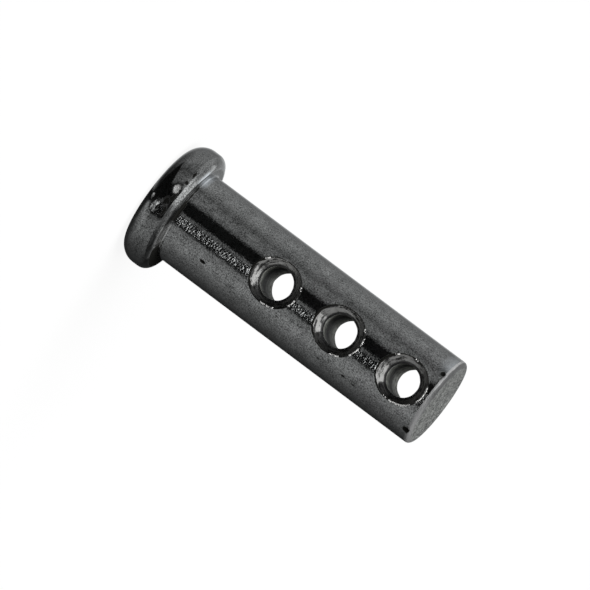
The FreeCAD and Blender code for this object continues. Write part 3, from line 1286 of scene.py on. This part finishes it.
def dish_material():
    """Cut metal: rings of scratches, patchy light and dark, and painted light and shade round the hole."""
    material, tree, shader, in_mm = start_material("cut_zinc")
    facing, distance, number, _ = round_the_hole(tree, in_mm)
    scratches = ring_noise(tree, facing, distance, number)
    patches = noise_at(tree, in_mm, PATCHES_PER_MM, detail=4.0, rough=0.7)
    fx, _, fz = split(tree, facing)
    warp = noise_at(tree, in_mm, CUT_WARP_NOISE, detail=4.0, rough=0.7)
    # painted light and shade round the hole, for the light the facets catch
    painted_light = ring_tone(tree, wobble(tree, turn_share(tree, fx, fz), warp, CUT_WARP), CUT_PAINTED_LIGHT)
    colour = ramp(tree, mix_tones(tree, PATCH_SHARE, scratches, patches), CUT_TONES)
    colour = blend_colours(tree, between(tree, distance, CUT_STEP), CUT_STEP_TONE, colour)
    colour = blend_colours(tree, 1.0, colour, painted_light, kind="MULTIPLY")
    mark_it(tree, shader, colour, CUT_METALLIC, CUT_SPECULAR)
    roughness = remap(tree, patches, USUAL_NOISE, CUT_ROUGHNESS)
    bump_and_roughness(tree, shader, roughness, scratches, SCRATCH_DEPTH)
    return material


skin.data.materials.append(dish_material())
print("the dishes have", SCRATCHES_PER_MM, "scratches per mm")

# %% [markdown]
# ## The holes' walls
#
# Inside a hole the zinc is thin, with blotches and a tint of old oil. The drill's rings
# run round the wall, and painted shade makes the wall darkest near the middle.

# %% The holes' walls
# Each pair is a place between the two mouths, from 0 to 1, and the wall's tone there, with its painted
# shade.
BORE_PAINTED_SHADE = [
    (0.00, 0.80), (0.10, 0.52), (0.25, 0.20), (0.38, 0.06), (0.50, 0.04), (0.60, 0.20), (0.75, 0.26),
    (0.88, 0.42), (1.00, 0.42),
]
LAST_BORE_PAINTED_SHADE = [                   # the hole nearest the end has lighter painted shade
    (0.00, 0.75), (0.10, 0.60), (0.25, 0.40), (0.38, 0.20), (0.50, 0.16), (0.60, 0.42), (0.75, 0.62),
    (0.88, 0.66), (1.00, 0.50),
]
BORE_SHADE_NOISE, BORE_SHADE_RAGGED = 1.3, 0.3
LAST_BORE_EDGE = (HOLE_HEIGHTS[1] + HOLE_RADIUS, HOLE_HEIGHTS[2] - HOLE_RADIUS)
BORE_TINT = (0.98, 1.00, 0.92)        # old oil
BORE_METALLIC = 0.3
BORE_SPECULAR = 0.15
BORE_SPECULAR_TINT = (0.3, 0.3, 0.3, 1)
BORE_ROUGHNESS = 0.55
BLOTCHES_PER_MM = 2.2
BLOTCHES_SHOW = (0.47, 0.60)
BLOTCH_SHARE = 0.55
DRILL_RINGS = (1.2, 6.0, 1.2)         # per mm, the middle one along the hole
RINGS_SHOW = (0.38, 0.58)
BETWEEN_RINGS = 0.40                  # the share of the tone that is left there


def bore_material():
    """Stained wall with drill rings, and painted shade that is darkest before the middle of its length."""
    material, tree, shader, in_mm = start_material("drilled_zinc")
    _, y, z = split(tree, in_mm)
    along = wobble(tree, maths(tree, "MULTIPLY_ADD", y, 1 / HOLE_WALL, 0.5),
                   noise_at(tree, in_mm, BORE_SHADE_NOISE), BORE_SHADE_RAGGED)
    # painted shade along the hole, darkest before the middle
    tone = blend_colours(tree, between(tree, z, LAST_BORE_EDGE),
                         ramp(tree, along, BORE_PAINTED_SHADE), ramp(tree, along, LAST_BORE_PAINTED_SHADE))
    rings = noise_at(tree, in_mm, 1.0, detail=3.0, rough=0.8, stretch=DRILL_RINGS)
    colour = blend_colours(tree, remap(tree, rings, RINGS_SHOW, (BETWEEN_RINGS, 1)), BLACK, tone)
    blotches = noise_at(tree, in_mm, BLOTCHES_PER_MM, detail=4.0, rough=0.7)
    colour = blend_colours(tree, remap(tree, blotches, BLOTCHES_SHOW, (0, BLOTCH_SHARE)), colour, DIRT_AND_SHADE_TONE)
    set_inputs(tree, shader, {
        "Base Color": blend_colours(tree, 1.0, colour, BORE_TINT, kind="MULTIPLY"),
        "Metallic": BORE_METALLIC,
        "Specular IOR Level": BORE_SPECULAR,
        "Specular Tint": BORE_SPECULAR_TINT})
    bump_and_roughness(tree, shader, BORE_ROUGHNESS, rings, SCRATCH_DEPTH)
    return material


skin.data.materials.append(bore_material())
print("a hole's wall is", round(HOLE_WALL, 2), "mm long")

# %% [markdown]
# ## The end
#
# The end was cut off and tumbled, so it is evenly rough, with a coarser grain. The
# shear left its marks across the bar. Painted light lies on the edge's rounding, more on
# the right than on the left.

# %% The cut end
END_TONES = [(0.41, (0.0, 0.0, 0.0)), (0.59, (0.252, 0.258, 0.246))]
END_METALLIC = 0.35
END_ROUGHNESS = (0.35, 0.50)
END_CLOUDS_PER_MM = 1.2
END_MARKS = (5.0, 2.5, 1.0)           # per mm: the shear's marks lie across the bar
END_RELIEF = 0.03
# Each pair is a place across the edge's rounding, from 0 on the face to 1 on the wall,
# and the tone there with its painted light, on the left side and on the right.
EDGE_PAINTED_LIGHT_LEFT = [(0.20, 0.06), (0.60, 0.05), (0.84, 0.08), (0.90, 0.11), (0.97, 0.45)]
EDGE_PAINTED_LIGHT_RIGHT = [(0.20, 0.15), (0.60, 0.28), (0.84, 0.40), (0.97, 0.24)]
EDGE_ROUNDING = (SHAFT_RADIUS - 1.25 * END_EDGE_ROUND, SHAFT_RADIUS)
EDGE_SHOWS = (0.0, 0.2)
EDGE_RAGGED = 0.2
EDGE_SIDES = (-0.5, 2.6)              # mm, from left to right, where one tone fades into the other


def end_material():
    """Tumbled cut face with painted light on its edge: coarse grain, evenly rough."""
    material, tree, shader, in_mm = start_material("tumbled_zinc")
    clouds = noise_at(tree, in_mm, END_CLOUDS_PER_MM, detail=4.0)
    grain = noise_at(tree, in_mm, 1.0, detail=4.0, rough=0.8, stretch=END_MARKS)
    colour = ramp(tree, mix_tones(tree, GRAIN_SHARE, clouds, grain), END_TONES)
    x, y, _ = split(tree, in_mm)
    across_edge = remap(tree, plane_vector(tree, x, y)[0], EDGE_ROUNDING)
    across_edge = wobble(tree, across_edge, clouds, EDGE_RAGGED)
    # painted light on the edge's rounding, lighter on the right
    edge = blend_colours(tree, remap(tree, x, EDGE_SIDES), ramp(tree, across_edge, EDGE_PAINTED_LIGHT_LEFT),
                         ramp(tree, across_edge, EDGE_PAINTED_LIGHT_RIGHT))
    colour = blend_colours(tree, remap(tree, across_edge, EDGE_SHOWS), colour, edge)
    mark_it(tree, shader, colour, END_METALLIC, CUT_SPECULAR)
    bump_and_roughness(tree, shader, remap(tree, clouds, USUAL_NOISE, END_ROUGHNESS), grain, END_RELIEF)
    return material


skin.data.materials.append(end_material())
print("finishes:", [material.name for material in skin.data.materials])

# %% [markdown]
# ## Crumbs of burr round the mouths
#
# The cutter left crumbs of torn metal along the edge of each mouth, most of them on the
# side where it left the steel. They could be modelled one by one, or drawn with bump.
# Geometry Nodes are the natural way for something that follows a line: the mouth's
# outline becomes a curve, the curve gives evenly spaced places, and each place gets a
# small lump of its own size and turn. A number on the outline, from 0 to 1, says how
# likely a crumb is there.

# %% The tree that sets crumbs on an outline
# the crumbs are real lumps; their light tones are painted highlights
BURR_GLINT_TONES = [(0.35, (0.15, 0.15, 0.15)), (0.48, (1.00, 1.00, 0.98))]
BURR_NOISE = 6.0
BURR_ROUGHNESS = 0.35


def burr_material():
    """Bare, torn metal of the burrs, lighter and darker from crumb to crumb; its light tones are painted
    highlights.
    """
    material, tree, shader, in_mm = start_material("burr_zinc")
    tone = ramp(tree, noise_at(tree, in_mm, BURR_NOISE, detail=1.0), BURR_GLINT_TONES)
    set_inputs(tree, shader, {"Base Color": tone, "Metallic": 0.0, "Roughness": BURR_ROUGHNESS})
    return material


CRUMB_INPUTS = {
    "Spacing": ("NodeSocketFloat", 0.065 * MM),
    "Scatter": ("NodeSocketFloat", 0.028 * MM),
    "Smallest": ("NodeSocketFloat", 0.030 * MM),
    "Largest": ("NodeSocketFloat", 0.090 * MM),
    "Seed": ("NodeSocketInt", 7),
    "Finish": ("NodeSocketMaterial", burr_material()),
}


def random_vector(tree, least, most, seed):
    """A random vector for each place, between the least and the most."""
    return result(tree, "FunctionNodeRandomValue", {0: least, 1: most, "Seed": seed},
                  data_type="FLOAT_VECTOR")


def crumb_group():
    """An empty tree with the named inputs, and the sockets that the inputs give."""
    tree = bpy.data.node_groups.new("crumbs_of_burr", "GeometryNodeTree")
    tree.interface.new_socket("Geometry", in_out="INPUT", socket_type="NodeSocketGeometry")
    for name, (kind, _) in CRUMB_INPUTS.items():
        tree.interface.new_socket(name, in_out="INPUT", socket_type=kind)
    tree.interface.new_socket("Geometry", in_out="OUTPUT", socket_type="NodeSocketGeometry")
    return tree, add_node(tree, "NodeGroupInput").outputs


def crumb_tree():
    """Lumps along an outline, where its burr number beats a random one."""
    tree, given = crumb_group()
    seed = given["Seed"]
    line = result(tree, "GeometryNodeMeshToCurve", {0: given["Geometry"]})
    places = result(tree, "GeometryNodeResampleCurve", {"Curve": line, "Length": given["Spacing"]},
                    mode="LENGTH")
    burr = result(tree, "GeometryNodeInputNamedAttribute", {"Name": "burr"}, data_type="FLOAT")
    chance = add_node(tree, "FunctionNodeRandomValue", {"Seed": seed}, data_type="FLOAT").outputs[1]
    chosen = result(tree, "FunctionNodeCompare", {0: burr, 1: chance}, data_type="FLOAT",
                    operation="GREATER_THAN")
    apart = random_vector(tree, (-1, -1, -1), (1, 1, 1), seed)
    apart = result(tree, "ShaderNodeVectorMath", {0: apart, "Scale": given["Scatter"]},
                   operation="SCALE")
    places = result(tree, "GeometryNodeSetPosition", {"Geometry": places, "Offset": apart})
    lump = result(tree, "GeometryNodeMeshIcoSphere", {"Radius": 1.0, "Subdivisions": 2})
    size = random_vector(tree, given["Smallest"], given["Largest"], seed)
    spin = random_vector(tree, (0, 0, 0), (math.pi,) * 3, seed)
    lumps = result(tree, "GeometryNodeInstanceOnPoints", {
        "Points": places, "Selection": chosen, "Instance": lump, "Scale": size})
    lumps = result(tree, "GeometryNodeRotateInstances", {"Instances": lumps, "Rotation": spin})
    solid = result(tree, "GeometryNodeRealizeInstances", {0: lumps})
    dressed = add_node(tree, "GeometryNodeSetMaterial", {"Geometry": solid, "Material": given["Finish"]})
    add_node(tree, "NodeGroupOutput", {0: dressed.outputs[0]})
    return tree


print("crumbs from", CRUMB_INPUTS["Smallest"][1] / MM, "to", CRUMB_INPUTS["Largest"][1] / MM, "mm")

# %% [markdown]
# The outlines of the six mouths are edges of one mesh. The tree runs on it once, and
# its result is kept as a plain mesh.

# %% Set the crumbs
# For each hole: directions round it, half widths in degrees, and chances of a crumb.
BURR_SIDES = [
    [(-88, 6, 0.9), (-67, 9, 1.0), (-16, 9, 1.0), (20, 4, 0.5), (139, 5, 0.2), (153, 4, 0.3)],
    [(-67, 12, 1.0), (-19, 11, 1.0), (10, 7, 0.8), (35, 4, 0.5)],
    [(0, 20, 1.0), (-57, 24, 1.0), (-95, 12, 0.6), (90, 5, 0.5), (135, 6, 0.5)],
]
BURR_FADE = (0.8, 1.2)                # of the half width
BURR_LIFT = 0.01


def burr_chance(x, z, sides):
    """How likely a crumb is at a place of a mouth's outline, from 0 to 1."""
    direction = math.degrees(math.atan2(-x, z))
    chance = 0.0
    for middle, half_width, most in sides:
        away = abs((direction - middle + 180) % 360 - 180) / half_width
        chance = max(chance, most * (1 - fade(away, *BURR_FADE)))
    return chance


def burr_outline():
    """The mouths' outlines as edges, with the burr number on their points."""
    points, edges, chances = [], [], []
    for hole, (height, aside) in enumerate(zip(HOLE_HEIGHTS, HOLE_ASIDES)):
        oval = oval_points(edge_points, aside)[:-1]
        outline = on_shaft(oval[:, 0], oval[:, 1], BURR_LIFT)
        for side in (1, -1):
            sides = BURR_SIDES[hole if side > 0 else hole - 1]
            first, count = len(points), len(outline)
            points += [(x * MM, side * y * MM, (z + height) * MM) for x, y, z in outline]
            edges += [(first + i, first + (i + 1) % count) for i in range(count)]
            chances += [burr_chance(x - aside, z, sides) for x, _, z in outline]
    lines = bpy.data.meshes.new("mouth_outlines")
    lines.from_pydata(points, edges, [])
    lines.attributes.new("burr", "FLOAT", "POINT").data.foreach_set("value", chances)
    return lines


def set_crumbs():
    """The crumbs as a plain mesh object."""
    outline = bpy.data.objects.new("mouth_outlines", burr_outline())
    bpy.context.scene.collection.objects.link(outline)
    modifier = outline.modifiers.new("crumbs", "NODES")
    modifier.node_group = crumb_tree()
    for socket in modifier.node_group.interface.items_tree:
        if socket.name in CRUMB_INPUTS:
            modifier[socket.identifier] = CRUMB_INPUTS[socket.name][1]
    outline.update_tag()
    depsgraph = bpy.context.evaluated_depsgraph_get()
    made = bpy.data.meshes.new_from_object(outline.evaluated_get(depsgraph), depsgraph=depsgraph)
    made.materials.clear()
    made.materials.append(CRUMB_INPUTS["Finish"][1])
    made.polygons.foreach_set("material_index", [0] * len(made.polygons))
    crumbs = bpy.data.objects.new("burr_crumbs", made)
    bpy.data.objects.remove(outline)
    bpy.context.scene.collection.objects.link(crumbs)
    return crumbs


crumbs = set_crumbs()
print("crumbs have", len(crumbs.data.polygons), "faces")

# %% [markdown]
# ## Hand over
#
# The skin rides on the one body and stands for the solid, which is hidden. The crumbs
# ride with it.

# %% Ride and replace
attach(skin, "root")
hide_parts("clevis_pin")
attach(crumbs, "root")
